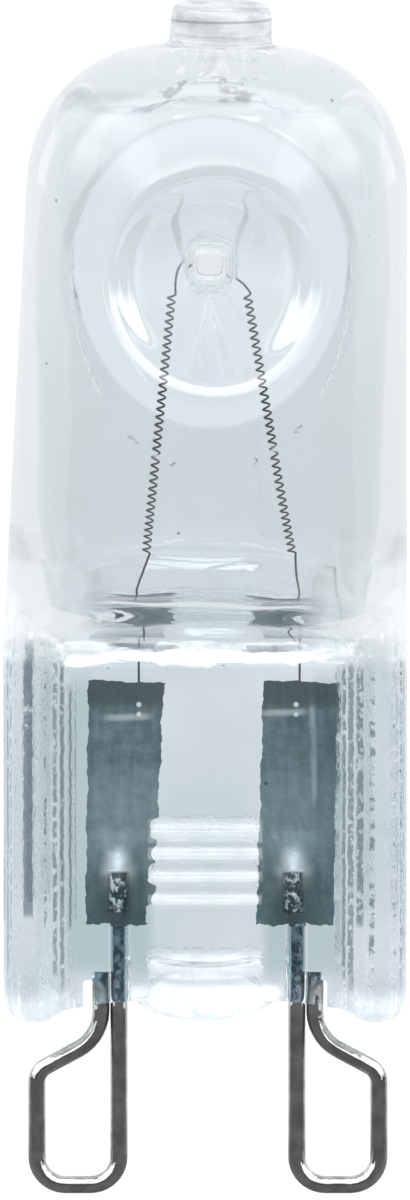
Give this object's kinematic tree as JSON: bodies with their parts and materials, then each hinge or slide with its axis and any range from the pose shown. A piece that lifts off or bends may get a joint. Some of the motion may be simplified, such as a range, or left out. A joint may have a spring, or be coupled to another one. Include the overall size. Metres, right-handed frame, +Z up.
{
  "type": "halogen capsule bulb",
  "caption": "Clear halogen capsule bulb: round glass bulb with a sealed tip, flat pressed seal and bent wire-loop contacts under it.",
  "frame": {"origin": "on the seal's middle at the seat, where the contact wires leave the underside of the pressed seal", "axes": "+Z up the lamp to the sealed tip, +X across the two contact loops, +Y through the thin way of the seal"},
  "size_m": [0.0139, 0.0138, 0.0415],
  "materials": {
    "clear_glass": "clear, fire-polished bulb over a pressed seal",
    "filament_metal": "dull drawn wire",
    "foil_metal": "dull rolled foil",
    "contact_wire": "bright drawn wire"
  },
  "bodies": {
    "root": {"quartz_envelope": "clear_glass", "filament": "filament_metal", "seal_foil_left": "foil_metal", "seal_foil_right": "foil_metal", "contact_loop_left": "contact_wire", "contact_loop_right": "contact_wire"}
  },
  "joints": []
}
